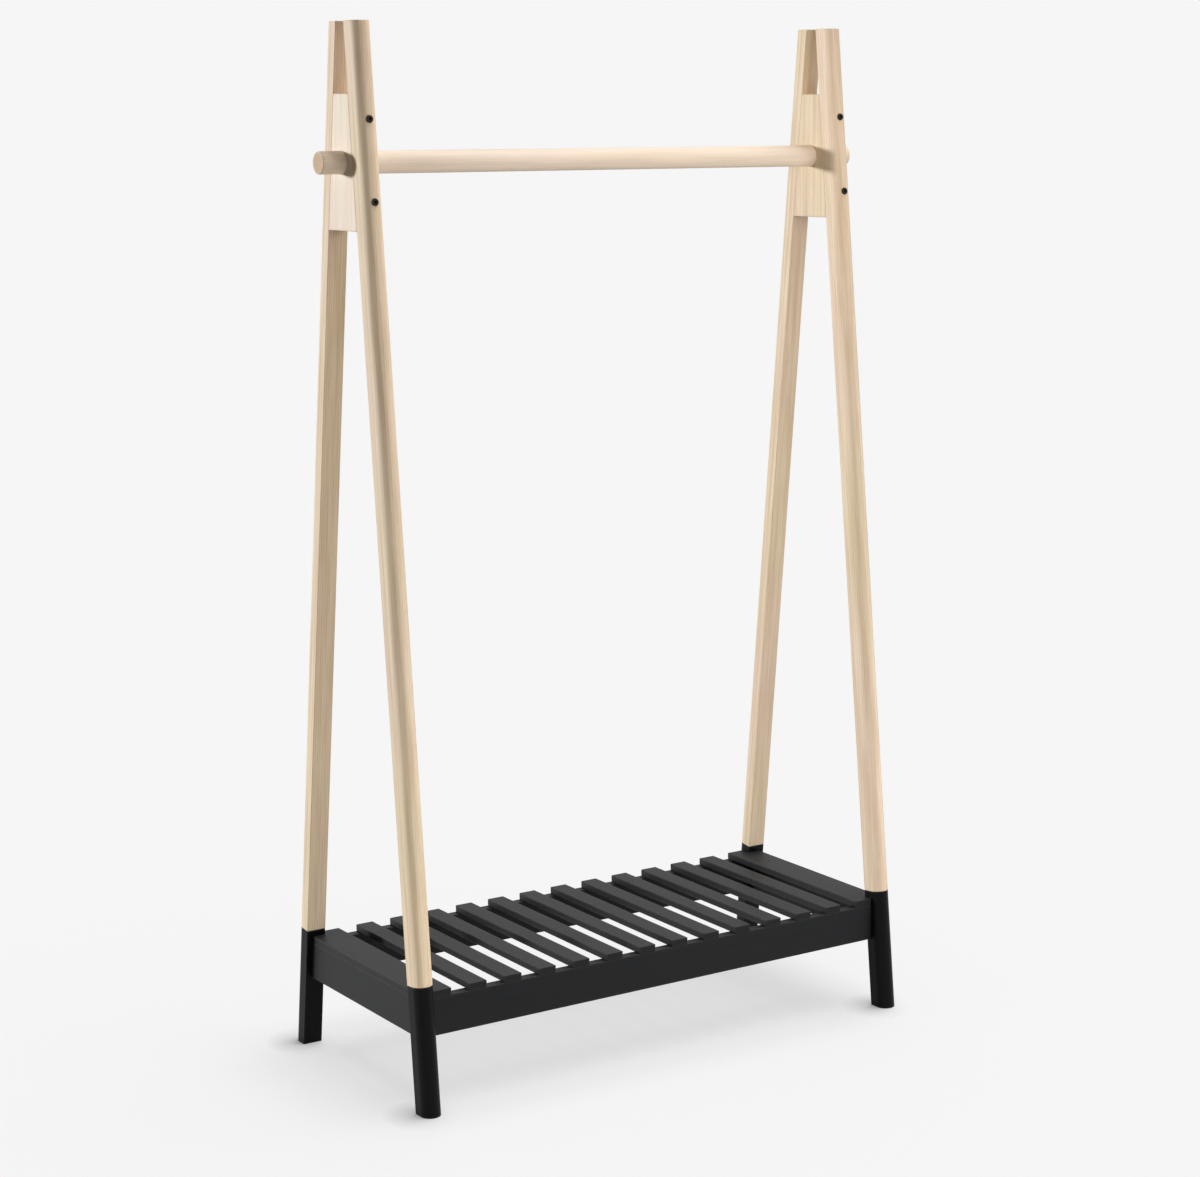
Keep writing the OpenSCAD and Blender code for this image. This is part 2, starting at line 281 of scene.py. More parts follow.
# Distance between the rings of Blender's wave texture at scale 1
WAVE_PITCH = 2 * math.pi / 20


def wood_figure(shader, grain, ring_pitch):
    """Growth rings, long streaks, fine fibres and broad drift of a sawn piece, each from 0 to 1."""
    rings = shader.node("TexWave", {
        "Vector": shader.drawn_out(grain, 0.05), "Scale": WAVE_PITCH / ring_pitch, "Distortion": 5.0,
        "Detail": 2.0, "Detail Scale": 0.12, "Detail Roughness": 0.5,
    }, wave_type="RINGS", rings_direction="Z", wave_profile="SAW").outputs["Fac"]
    streaks = shader.noise(shader.drawn_out(grain, 0.02), 420, 3.0, 0.6)
    fibres = shader.noise(shader.drawn_out(grain, 0.03), 2600, 2.0, 0.6)
    drift = shader.noise(shader.drawn_out(grain, 0.22), 16, 2.0, 0.5)
    return rings, streaks, fibres, drift


def pale_wood(name, paler=0.0):
    """Pale softwood with a clear matt lacquer. paler is its share of one plain light tone."""
    shader = new_material(name)
    grain = shader.attribute("grain", "Vector")
    rings, streaks, fibres, drift = wood_figure(shader, grain, 3.4 * mm)
    late = shader.math("POWER", rings, 3.0)
    bands = shader.noise(shader.drawn_out(grain, 0.05), 120, 2.0, 0.5)
    figure = shader.total(
        shader.math("MULTIPLY", late, 0.24),
        shader.spread(streaks, 0.35, 0.75, 0.0, 0.28),
        shader.spread(fibres, 0.3, 0.8, 0.0, 0.16),
        shader.spread(bands, 0.35, 0.7, -0.05, 0.2))
    early_tone, late_tone = rgb("#eee1d2"), rgb("#b99a78")
    tone = shader.mix(figure, early_tone, late_tone)
    yellow, rosy = rgb("#fbf8e6"), rgb("#fcf4ec")
    tone = shader.mix(0.8, tone, shader.mix(shader.spread(drift, 0.35, 0.65), yellow, rosy), "MULTIPLY")
    tone = shader.mix(paler, tone, rgb("#fdf6ef"))
    end_tone, worn_tone = rgb("#b3936c"), rgb("#dcc6a6")
    tone = shader.mix(shader.spread(shader.attribute("end"), 0.3, 1.0, 0.0, 0.75), tone, end_tone)
    tone = shader.mix(shader.worn(streaks, 0.3, 0.7, 0.1, 0.5), tone, worn_tone)
    rough = shader.spread(fibres, 0.2, 0.8, 0.44, 0.62)
    height = shader.total(shader.math("MULTIPLY", fibres, 0.55), shader.math("MULTIPLY", late, 0.45))
    return shader.surface(
        Base_Color=tone, Roughness=rough, Normal=shader.bump(height, 0.06 * mm, 0.6),
        Specular_IOR_Level=0.15)


def black_paint(name, smoothest, specular, painted_shade=0.0):
    """Satin black paint, thin enough that the grain just shows and the edges have rubbed.

    smoothest is its least roughness, specular the strength of its shine, and the last argument its share
    of one plain darker tone, which is painted shade.
    """
    shader = new_material(name)
    grain = shader.attribute("grain", "Vector")
    rings, streaks, fibres, drift = wood_figure(shader, grain, 3.8 * mm)
    tone = shader.mix(drift, rgb("#0e0f11"), rgb("#131416"))
    tone = shader.mix(shader.spread(streaks, 0.45, 0.8, 0.0, 0.5), tone, rgb("#1e1f22"))
    # Painted shade: a share of a plain darker tone, for pieces of the same paint that should look darker
    tone = shader.mix(painted_shade, tone, rgb("#040405"))
    spots = shader.noise(grain, 700, 3.0, 0.6)
    worn_tone = rgb("#3b3a39")
    tone = shader.mix(shader.worn(spots, 0.5, 0.72, 0.1, 0.6), tone, worn_tone)
    peel = shader.noise(grain, 900, 2.0, 0.5)
    height = shader.total(
        shader.math("MULTIPLY", fibres, 0.35),
        shader.math("MULTIPLY", rings, 0.3),
        shader.math("MULTIPLY", peel, 0.35))
    rough = shader.spread(shader.total(streaks, spots), 0.6, 1.4, smoothest, smoothest + 0.14)
    return shader.surface(
        Base_Color=tone, Roughness=rough, Normal=shader.bump(height, 0.07 * mm, 0.6),
        Specular_IOR_Level=specular)


def black_steel():
    """Black oxide on the bolts, rubbed where a key has turned."""
    shader = new_material("black_steel")
    spots = shader.speckle(1400)
    tone = shader.mix(shader.spread(spots, 0.3, 0.7), rgb("#0d0b08"), rgb("#17130e"))
    worn_tone = rgb("#4a443a")
    tone = shader.mix(shader.worn(spots, 0.4, 0.7, 0.1, 0.7), tone, worn_tone)
    rough = shader.spread(spots, 0.3, 0.7, 0.34, 0.5)
    return shader.surface(
        Base_Color=tone, Roughness=rough, Normal=shader.bump(spots, 0.03 * mm, 0.5), Metallic=0.6)


def plated_steel():
    """Zinc plate on the inserts and studs."""
    shader = new_material("plated_steel")
    spots = shader.speckle(900)
    tone = shader.mix(spots, rgb("#b4b6b8"), rgb("#cfd1d2"))
    rough = shader.spread(spots, 0.3, 0.7, 0.25, 0.42)
    return shader.surface(
        Base_Color=tone, Roughness=rough, Normal=shader.bump(spots, 0.02 * mm, 0.5), Metallic=1.0)


def dowel_wood():
    """Bare beech of the dowels and pins, with short flecks."""
    shader = new_material("dowel_wood")
    flecks = shader.speckle(1500)
    tone = shader.mix(shader.spread(flecks, 0.35, 0.7), rgb("#dcbf93"), rgb("#b98f5e"))
    rough = shader.spread(flecks, 0.3, 0.7, 0.55, 0.7)
    return shader.surface(
        Base_Color=tone, Roughness=rough, Normal=shader.bump(flecks, 0.05 * mm, 0.5))


# Outlines: each takes an inset and returns (u, v, edge) points in order, as many at any inset

def arc(centre, radius, start, turn, steps, edge):
    """Points along an arc of the given turn in radians, both ends included."""
    for i in range(steps + 1):
        a = start + turn * i / steps
        yield centre[0] + radius * math.cos(a), centre[1] + radius * math.sin(a), edge


# Depth of a leg's straight sides, and the distance from an inner edge at which its wear ends
LEG_STRAIGHT = LEG_D - LEG_W / 2
LEG_FADE = LEG_EDGE_R + WEAR_REACH


def leg_outline(inset):
    """Section of a leg: half round towards -v, flat at v = 0, with eased inner corners."""
    half = LEG_W / 2 - inset
    r = max(LEG_EDGE_R - inset, SHARP)
    points = list(arc((0, -LEG_STRAIGHT), half, math.pi, math.pi, ROUND_STEPS, 0))
    points.append((half, -LEG_FADE, 0))
    points += arc((half - r, -inset - r), r, 0, math.pi / 2, ARC_STEPS, 1)
    points += [(LEG_W / 2 - LEG_FADE, -inset, 0), (LEG_FADE - LEG_W / 2, -inset, 0)]
    points += arc((r - half, -inset - r), r, math.pi / 2, math.pi / 2, ARC_STEPS, 1)
    points.append((-half, -LEG_FADE, 0))
    return points


def polygon_outline(corners, radius):
    """Outline of a polygon whose corners run anticlockwise, each eased by radius."""
    corners = [Vector(c) for c in corners]

    def outline(inset):
        points = []
        for i, corner in enumerate(corners):
            back = (corner - corners[i - 1]).normalized()
            ahead = (corners[(i + 1) % len(corners)] - corner).normalized()
            inward = Vector((-back.y, back.x))
            turn = math.atan2(back.cross(ahead), back.dot(ahead))
            side = 1 if turn > 0 else -1
            r = max(radius - inset, SHARP) if turn > 0 else radius + inset
            reach = math.tan(abs(turn) / 2)
            bend = corner + inset * (inward - back * math.tan(turn / 2))
            start = bend - back * r * reach
            centre = start + inward * r * side
            angle = math.atan2(start.y - centre.y, start.x - centre.x)
            fade = (radius + WEAR_REACH) * reach - inset * math.tan(turn / 2)
            points.append((*(bend - back * fade), 0))
            points += arc(centre, r, angle, turn, ARC_STEPS, 1)
            points.append((*(bend + ahead * fade), 0))
        return points

    return outline


def box_outline(width, height, radius):
    """Outline of a rectangle round the origin."""
    w, h = width / 2, height / 2
    return polygon_outline([(-w, -h), (w, -h), (w, h), (-w, h)], radius)


def circle_outline(radius, steps):
    """Outline of a circle round the origin, whose first point isn't repeated."""
    def outline(inset):
        return list(arc((0, 0), max(radius - inset, SHARP), 0, 2 * math.pi, steps, 0))[:-1]
    return outline


# Meshes

class Skin:
    """Vertices with their place, wear along edges and end grain, and the faces between them."""

    def __init__(self):
        self.places, self.edges, self.ends, self.faces = [], [], [], []

    def ring(self, places, edges, end=0.0):
        """Adds a loop of vertices and gives their numbers."""
        first = len(self.places)
        self.places += [Vector(p) for p in places]
        self.edges += edges
        self.ends += [end] * len(places)
        return list(range(first, len(self.places)))

    def bridge(self, low, high, skip=()):
        """Joins two rings by a band of faces, apart from the numbers to skip."""
        for i in range(len(low)):
            if i not in skip:
                j = (i + 1) % len(low)
                self.faces.append((low[i], low[j], high[j], high[i]))

    def bridge_all(self, rings):
        """Joins each ring to the next one."""
        for low, high in zip(rings, rings[1:]):
            self.bridge(low, high)

    def cap(self, ring, flip=False):
        """Closes a ring with one face, which has no wear of its own."""
        for i in ring:
            self.edges[i] = 0.0
        self.faces.append(tuple(reversed(ring)) if flip else tuple(ring))

    def cap_ends(self, rings):
        """Closes the first and the last ring."""
        self.cap(rings[0], flip=True)
        self.cap(rings[-1])

    def add(self, other, matrix):
        """Joins another skin to this one, moved by a matrix. A mirrored skin has its faces turned."""
        first = len(self.places)
        self.places += [matrix @ p for p in other.places]
        self.edges += other.edges
        self.ends += other.ends
        order = -1 if matrix.determinant() < 0 else 1
        self.faces += [tuple(first + i for i in face[::order]) for face in other.faces]


def quarter():
    """Steps round an eased edge: shares of the inset that is left, the length and the turn done."""
    for i in range(ARC_STEPS + 1):
        a = math.pi / 2 * i / ARC_STEPS
        yield 1 - math.sin(a), 1 - math.cos(a), i / ARC_STEPS


def end_profile(ease):
    """(inset, distance from the face, edge, end) at each ring of an end with rounded edges."""
    rounded = [(ease * inset, ease * along, 1, 1 - done) for inset, along, done in quarter()]
    return [(ease + WEAR_REACH, 0, 0, 1)] + rounded + [(0, ease + WEAR_REACH, 0, 0)]


def eased_stations(ease, low, high, between=()):
    """Stations (inset, place, edge, end) of a piece from low to high with both ends eased."""
    profile = end_profile(ease)
    up = [(inset, low + along, edge, end) for inset, along, edge, end in profile]
    down = [(inset, high - along, edge, end) for inset, along, edge, end in reversed(profile)]
    return up + [(0, place, 0, 0) for place in between] + down


def rings_along(skin, outline, stations, place):
    """Rings of an outline at each station. place(u, v, s) gives a point of them."""
    rings = []
    for inset, s, edge, end in stations:
        points = outline(inset)
        rings.append(skin.ring(
            [place(u, v, s) for u, v, _ in points],
            [max(edge, own) for _, _, own in points], end))
    return rings


def sweep(outline, stations, place):
    """Skin of a solid whose outline runs through the stations, with both ends closed."""
    skin = Skin()
    rings = rings_along(skin, outline, stations, place)
    skin.bridge_all(rings)
    skin.cap_ends(rings)
    return skin


def place_in_log(name):
    """Place of a piece within its own imagined log, the same each run."""
    chance = random.Random(name)
    turn = chance.uniform(0, 2 * math.pi)
    away = chance.uniform(LOG_NEAR, LOG_FAR) * mm
    return Vector((away * math.cos(turn), away * math.sin(turn), chance.uniform(0, LOG_LENGTH)))


def finish_piece(node, skin, to_wood, material):
    """Makes the piece that replaces a node. to_wood turns the rack's axes to (across, across, along)."""
    name = "dressed_" + node
    mesh = bpy.data.meshes.new(name)
    mesh.from_pydata(skin.places, [], skin.faces)
    mesh.validate()
    shift = place_in_log(name)
    grain = mesh.attributes.new("grain", "FLOAT_VECTOR", "POINT")
    grain.data.foreach_set("vector", [c for place in skin.places for c in to_wood @ place + shift])
    for label, values in (("edge", skin.edges), ("end", skin.ends)):
        mesh.attributes.new(label, "FLOAT", "POINT").data.foreach_set("value", values)
    mesh.polygons.foreach_set("use_smooth", [True] * len(mesh.polygons))
    mesh.materials.append(material)
    piece = add_object(name, mesh)
    weighted = piece.modifiers.new("weighted normals", "WEIGHTED_NORMAL")
    weighted.weight = FACE_WEIGHT
    weighted.keep_sharp = True
    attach(piece, "root")
    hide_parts(node)


# Legs

# Faces on each side of the leg's crown that a bolt hole is set into, and the vertices they lie between
HOLE_STEPS = 7
HOLE_FIRST = ROUND_STEPS // 2 - HOLE_STEPS
HOLE_LAST = ROUND_STEPS // 2 + HOLE_STEPS
# Half of the width that all these faces span
HOLE_HALF = LEG_W / 2 * math.sin(math.pi * HOLE_STEPS / ROUND_STEPS)
# Wear at the mouth of a counterbore
HOLE_WEAR = 0.6


def leg_matrix(side, row):
    """From a leg's own frame, where v = 0 is its inner face and s runs up it, to the rack's frame."""
    lean = Matrix.Rotation(-LEAN, 4, "X")
    gap = Matrix.Translation((0, -FOOT_GAP / 2, 0))
    mirror = Matrix.Diagonal((1, -ROWS[row], 1, 1))
    return Matrix.Translation((SIDES[side] * FRAME_X, 0, 0)) @ mirror @ gap @ lean


def level_s(z, v):
    """Place along the leg of the point at height z and depth v."""
    return (z + v * math.sin(LEAN)) / math.cos(LEAN)


def on_leg(u, v, place):
    """Point of a leg, whose stations give the place along it by depth."""
    return u, v, place(v)


def square_cuts(places):
    """Stations of plain rings square to the leg."""
    return [(0, lambda v, s=s: s, 0, 0) for s in places]


def square_end(ease, start, direction):
    """Stations of an eased end cut square to the leg, from its face inwards."""
    return [
        (inset, lambda v, s=start + direction * along: s, edge, end)
        for inset, along, edge, end in end_profile(ease)]


def level_end(ease, z, direction):
    """Stations of an eased end cut level, from its face inwards."""
    return [
        (inset, lambda v, h=z + direction * along: level_s(h, v), edge, end)
        for inset, along, edge, end in end_profile(ease)]


def crown(x, s, sunk):
    """Point of a leg's half-round face at x across and s along, or sunk below it."""
    return x, -LEG_STRAIGHT - math.sqrt((LEG_W / 2) ** 2 - x * x) + sunk, s


def bolt_hole(skin, outer, middle):
    """Counterbore in the half-round face, inside the closed loop of vertices called outer."""
    angles = [math.atan2(skin.places[i].z - middle, skin.places[i].x) for i in outer]
    radius = (BOLT_HEAD_D + BOLT_FIT) / 2
    seat_v = -LEG_D + BOLT_HEAD_H - BOLT_HEAD_OUT

    def loop(r, sunk, edge, end=0.0):
        places = [crown(r * math.cos(a), middle + r * math.sin(a), sunk) for a in angles]
        return skin.ring(places, [edge] * len(angles), end)

    rings = [
        outer,
        loop(radius + WEAR_REACH / 2, 0, 0),
        loop(radius + HOLE_FLARE, 0, HOLE_WEAR),
        loop(radius, HOLE_FLARE, HOLE_WEAR, 0.5)]
    seat = [(radius * math.cos(a), seat_v, middle + radius * math.sin(a)) for a in angles]
    rings.append(skin.ring(seat, [0.0] * len(angles), 1.0))
    skin.bridge_all(rings)
    skin.cap(rings[-1])


def hole_loop(rings):
    """Vertices round the faces that a bolt hole takes from the bands between these rings."""
    loop = [rings[0][i] for i in range(HOLE_FIRST, HOLE_LAST)]
    loop += [ring[HOLE_LAST] for ring in rings[:-1]]
    loop += [rings[-1][i] for i in range(HOLE_LAST, HOLE_FIRST, -1)]
    loop += [ring[HOLE_FIRST] for ring in reversed(rings[1:])]
    return loop


def hole_cuts(middle):
    """Places along a leg of the rings that a bolt hole is set between."""
    turns = [math.pi / 2 * i / HOLE_STEPS for i in range(-HOLE_STEPS, HOLE_STEPS + 1)]
    return [middle + HOLE_HALF * math.sin(turn) for turn in turns]


def plain_cuts(low, high, middles):
    """Places of even rings along a leg, clear of its upper end and of the bolt holes."""
    count = int((high - low) / LEG_STATION)
    places = [low + LEG_STATION * i for i in range(1, count + 1)]
    return [
        s for s in places
        if s < high - TOP_CLEAR and all(abs(s - m) > HOLE_HALF + HOLE_CLEAR for m in middles)]


def upper_leg(side, row, material):
    """Pale leg with an eased lower end, a level top and two counterbores in its round face."""
    middles = [z / math.cos(LEAN) for z in BOLT_HEIGHTS]
    holes = [hole_cuts(middle) for middle in middles]
    between = sorted(plain_cuts(JOINT_S, level_s(RACK_H, 0), middles) + holes[0] + holes[1])
    lower_end = square_end(JOINT_EASE, JOINT_S, 1)
    upper_end = level_end(SMALL_EASE, RACK_H, -1)
    skin = Skin()
    rings = rings_along(skin, leg_outline, lower_end + square_cuts(between) + upper_end[::-1], on_leg)
    starts = [len(lower_end) + between.index(hole[0]) for hole in holes]
    for k, (low, high) in enumerate(zip(rings, rings[1:])):
        inside = any(start <= k < start + 2 * HOLE_STEPS for start in starts)
        skin.bridge(low, high, skip=range(HOLE_FIRST, HOLE_LAST) if inside else ())
    for start, middle in zip(starts, middles):
        bolt_hole(skin, hole_loop(rings[start:start + 2 * HOLE_STEPS + 1]), middle)
    skin.cap_ends(rings)
    place_leg(f"{side}_{row}_upper_leg", skin, leg_matrix(side, row), material)


def lower_leg(side, row, material):
    """Black leg with a level foot, square where it meets the pale leg."""
    foot = level_end(SMALL_EASE, 0, 1)
    between = square_cuts(JOINT_S * share for share in (0.25, 0.5, 0.75))
    joint = square_end(SMALL_EASE / 2, JOINT_S, -1)
    skin = sweep(leg_outline, foot + between + joint[::-1], on_leg)
    place_leg(f"{side}_{row}_lower_leg", skin, leg_matrix(side, row), material)


def place_leg(node, skin, matrix, material):
    """Stands a leg in its place, with the grain along it."""
    placed = Skin()
    placed.add(skin, matrix)
    finish_piece(node, placed, matrix.to_3x3().inverted(), material)


# Head blocks

# Wear at a block's edges and at the mouths of its bore
BLOCK_WEAR = 0.7


def block_loop(inset_y, inset_z, angles):
    """Points of the block's outline in (y, z), one on each ray from the rail's axis."""
    low, high = BLOCK_LOW.z + inset_z, BLOCK_HIGH.z - inset_z
    half = half_gap(RAIL_Z) - inset_y / math.cos(LEAN)
    points = []
    for a in angles:
        c, s = math.cos(a), math.sin(a)
        reach = []
        if s:
            reach.append(((high if s > 0 else low) - RAIL_Z) / s)
        slope = abs(c) + LEAN_SLOPE * s
        if slope > 0:
            reach.append(half / slope)
        r = min(reach)
        points.append((r * c, RAIL_Z + r * s))
    return points


def block_angles():
    """Even angles round the rail's axis, with the nearest ones moved on to the block's corners."""
    angles = [2 * math.pi * i / BLOCK_STEPS for i in range(BLOCK_STEPS)]
    for z in (BLOCK_LOW.z, BLOCK_HIGH.z):
        for side in (1, -1):
            corner = math.atan2(z - RAIL_Z, side * half_gap(z)) % (2 * math.pi)
            nearest = min(range(BLOCK_STEPS), key=lambda i: abs(angles[i] - corner))
            angles[nearest] = corner
    return angles


def head_block(side, material):
    """Wedge between the legs, bored for the rail."""
    skin = Skin()
    angles = block_angles()
    x_mid, half = SIDES[side] * FRAME_X, LEG_W / 2
    bore = RAIL_R + RAIL_FIT / 2

    def hole(radius, x, edge):
        points = [(x_mid + x, radius * math.cos(a), RAIL_Z + radius * math.sin(a)) for a in angles]
        return skin.ring(points, [edge] * len(angles))

    def outline(inset_y, inset_z, x, edge):
        points = [(x_mid + x, y, z) for y, z in block_loop(inset_y, inset_z, angles)]
        return skin.ring(points, [edge] * len(angles))

    def face(direction):
        loops = [
            hole(bore, direction * (half - BORE_FLARE), BLOCK_WEAR),
            hole(bore + BORE_FLARE, direction * half, BLOCK_WEAR),
            hole(bore + BORE_FLARE + WEAR_REACH, direction * half, 0),
            outline(SMALL_EASE + WEAR_REACH, JOINT_EASE + WEAR_REACH, direction * half, 0)]
        for inset, along, _ in quarter():
            x = direction * (half - JOINT_EASE * along)
            loops.append(outline(SMALL_EASE * inset, JOINT_EASE * inset, x, BLOCK_WEAR))
        loops.append(outline(0, 0, direction * (half - JOINT_EASE - WEAR_REACH), 0))
        return loops

    loops = face(-1) + face(1)[::-1]
    skin.bridge_all(loops + loops[:1])
    finish_piece(f"{side}_head_block", skin, GRAIN_Z, material)


# Rail

def hanging_rail(material):
    """Turned rail through both blocks, with eased ends."""
    length = RAIL_HIGH.x - RAIL_LOW.x
    between = [RAIL_LOW.x + length * i / RAIL_LENGTHS for i in range(1, RAIL_LENGTHS)]
    skin = sweep(
        circle_outline(RAIL_R, RAIL_STEPS), eased_stations(RAIL_EASE, RAIL_LOW.x, RAIL_HIGH.x, between),
        lambda u, v, s: (s, u, RAIL_Z + v))
    finish_piece("hanging_rail", skin, GRAIN_X, material)


# Bolts

# Width of the worn flat inside the eased rim of a bolt's head
RIM_W = 0.6 * mm
# Share by which a socket is wider at its mouth, and the depth at which it has its own width
MOUTH_SHARE = 1.12
MOUTH_DEPTH = 0.2 * mm
# Share of the socket's width at the bottom of the drill mark under it, and the mark's depth
MARK_SHARE = 0.2
MARK_DEPTH = 0.5 * mm
# Wear of the head's rim, of the socket's mouth and just inside it
RIM_WEAR = 0.8
MOUTH_WEAR = 0.9
SOCKET_WEAR = 0.6


def bolt():
    """Bolt along +Z, with the top of its head at z = 0 and a hexagon socket in it."""
    skin = Skin()
    angles = [2 * math.pi * i / BOLT_STEPS for i in range(BOLT_STEPS)]

    def circle(radius, z, edge=0.0):
        places = [(radius * math.cos(a), radius * math.sin(a), z) for a in angles]
        return skin.ring(places, [edge] * BOLT_STEPS)

    def hexagon(share, z, edge=0.0):
        places = []
        for a in angles:
            from_flat = (a + math.pi / 6) % (math.pi / 3) - math.pi / 6
            r = share * SOCKET_W / 2 / math.cos(from_flat)
            places.append((r * math.cos(a), r * math.sin(a), z))
        return skin.ring(places, [edge] * BOLT_STEPS)

    tip = BOLT_HEAD_H + BOLT_LEN
    head_r = BOLT_HEAD_D / 2
    loops = [
        circle(BOLT_D / 4, tip),
        circle(BOLT_D / 2, tip - BOLT_D / 4),
        circle(BOLT_D / 2, BOLT_HEAD_H),
        circle(head_r, BOLT_HEAD_H)]
    for down, across, _ in quarter():
        loops.append(circle(head_r - BOLT_EASE * across, BOLT_EASE * down, RIM_WEAR))
    loops += [
        circle(head_r - BOLT_EASE - RIM_W, 0),
        hexagon(MOUTH_SHARE, 0, MOUTH_WEAR),
        hexagon(1, MOUTH_DEPTH, SOCKET_WEAR),
        hexagon(1, SOCKET_DEPTH),
        hexagon(MARK_SHARE, SOCKET_DEPTH + MARK_DEPTH)]
    skin.bridge_all(loops)
    skin.cap_ends(loops)
    return skin


def head_bolts(side, material):
    """The four bolts of one end frame, in one piece as in the solids."""
    skin = Skin()
    one = bolt()
    to_axis = Matrix.Rotation(math.radians(-90), 4, "X")
    for row in ROWS:
        for z in BOLT_HEIGHTS:
            top = Matrix.Translation((0, -LEG_D - BOLT_HEAD_OUT, z / math.cos(LEAN)))
            skin.add(one, leg_matrix(side, row) @ top @ to_axis)
    finish_piece(f"{side}_head_bolts", skin, GRAIN_Y, material)


# Shelf

def long_apron(row, material):
    """Front or rear board under the slats."""
    node = f"{row}_apron"
    low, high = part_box(node)
    middle = (low + high) / 2
    skin = sweep(
        box_outline(high.y - low.y, high.z - low.z, BOARD_EASE),
        eased_stations(SMALL_EASE / 2, low.x, high.x),
        lambda u, v, s: (s, middle.y + u, middle.z + v))
    finish_piece(node, skin, GRAIN_X, material)


def side_apron(side, material):
    """Board under the end slat, whose ends are cut to the lean of the legs."""
    node = f"{side}_apron"
    low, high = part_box(node)
    middle = (low + high) / 2
    skin = sweep(
        box_outline(high.z - low.z, high.x - low.x, BOARD_EASE),
        eased_stations(SMALL_EASE / 2, -1, 1),
        lambda u, v, s: (middle.x + v, slanted(s, middle.z + u), middle.z + u))
    finish_piece(node, skin, GRAIN_Y, material)


def slanted(s, z):
    """Place along Y between the legs at height z, where s is the distance inwards from -1 or 1."""
    sign = 1 if s > 0 else -1
    return sign * (half_gap(z) - (1 - abs(s)))


def slat(node, material):
    """Plain slat across both long aprons."""
    low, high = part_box(node)
    middle = (low + high) / 2
    skin = sweep(
        box_outline(high.z - low.z, high.x - low.x, BOARD_EASE),
        eased_stations(SMALL_EASE, low.y, high.y),
        lambda u, v, s: (middle.x + v, s, middle.z + u))
    finish_piece(node, skin, GRAIN_Y, material)


def end_slat(side, material):
    """Wide slat, notched at its outer corners round the legs."""
    node = f"{side}_end_slat"
    low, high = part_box(node)
    outer, inner = (high.x, low.x) if side == "right" else (-low.x, -high.x)
    notch_x = FRAME_X - LEG_W / 2 - NOTCH_FIT
    notch_y = half_gap(high.z) - NOTCH_FIT
    corners = [
        (inner, low.y), (notch_x, low.y), (notch_x, -notch_y), (outer, -notch_y),
        (outer, notch_y), (notch_x, notch_y), (notch_x, high.y), (inner, high.y)]
    if side == "left":
        corners = [(-x, y) for x, y in reversed(corners)]
    skin = sweep(
        polygon_outline(corners, SMALL_EASE), eased_stations(BOARD_EASE, low.z, high.z),
        lambda u, v, s: (u, v, s))
    # Its outline is swept upwards, across the grain, so the closed faces are no end grain
    skin.ends = [0.0] * len(skin.ends)
    finish_piece(node, skin, GRAIN_Y, material)


# Camera

# Fitted to points of the photograph: the lens in millimetres, the shift as a share of the picture
CAMERA_PLACE = Vector((-2.1501, -3.2460, 1.3671))
CAMERA_YAW = math.radians(33.537)
CAMERA_PITCH = math.radians(7.991)
CAMERA_ROLL = math.radians(-0.248)
CAMERA_LENS = 79.508
CAMERA_SHIFT = -0.0821
# Furthest that the camera sees, beyond the floor's far corners
CAMERA_REACH = 200


def camera():
    """Camera at the front on the left, turned from +Y to the right and tilted down."""
    data = bpy.data.cameras.new("camera")
    data.lens = CAMERA_LENS
    data.shift_y = CAMERA_SHIFT
    data.clip_end = CAMERA_REACH
    made = add_object("camera", data)
    made.location = CAMERA_PLACE
    turn = Matrix.Rotation(-CAMERA_YAW, 4, "Z") @ Matrix.Rotation(math.pi / 2 - CAMERA_PITCH, 4, "X")
    turn = turn @ Matrix.Rotation(CAMERA_ROLL, 4, "Z")
    made.rotation_euler = turn.to_euler()
    bpy.context.scene.camera = made


# Floor and world

# Half the width of the floor, which runs out of the picture in all views
FLOOR_HALF = 60
# Share of the floor's tone that takes light and shadow, and the light on the floor in the open. The
# rest is a glow, as strong as brings the open floor to the backdrop's tone.
FLOOR_TAKES = 0.32
FLOOR_LIGHT = 1.18
# Reach of the painted contact shade at the feet, how much it takes, and the way it looks for what is
# near:
# towards the floor's lamp, so that it lies on the side where the shadows fall
CONTACT_REACH = 50 * mm
CONTACT_TAKES = 0.8
CONTACT_WAY = {"X": 0.65, "Y": -0.2, "Z": 0.73}
# Distances from the middle of the floor, and its tone up to the first and from the second on, for the
# rays that light the rack: a painted pool of warm light round the rack, dark further out, that lights it
# by bounce
POOL_NEAR = 0.7
POOL_FAR = 1.8
POOL_TONE = rgb("#a59c8f")
FAR_TONE = rgb("#22201e")
# Low even light round the rack
AMBIENT = 0.19
AMBIENT_TONE = rgb("#fff0e0")


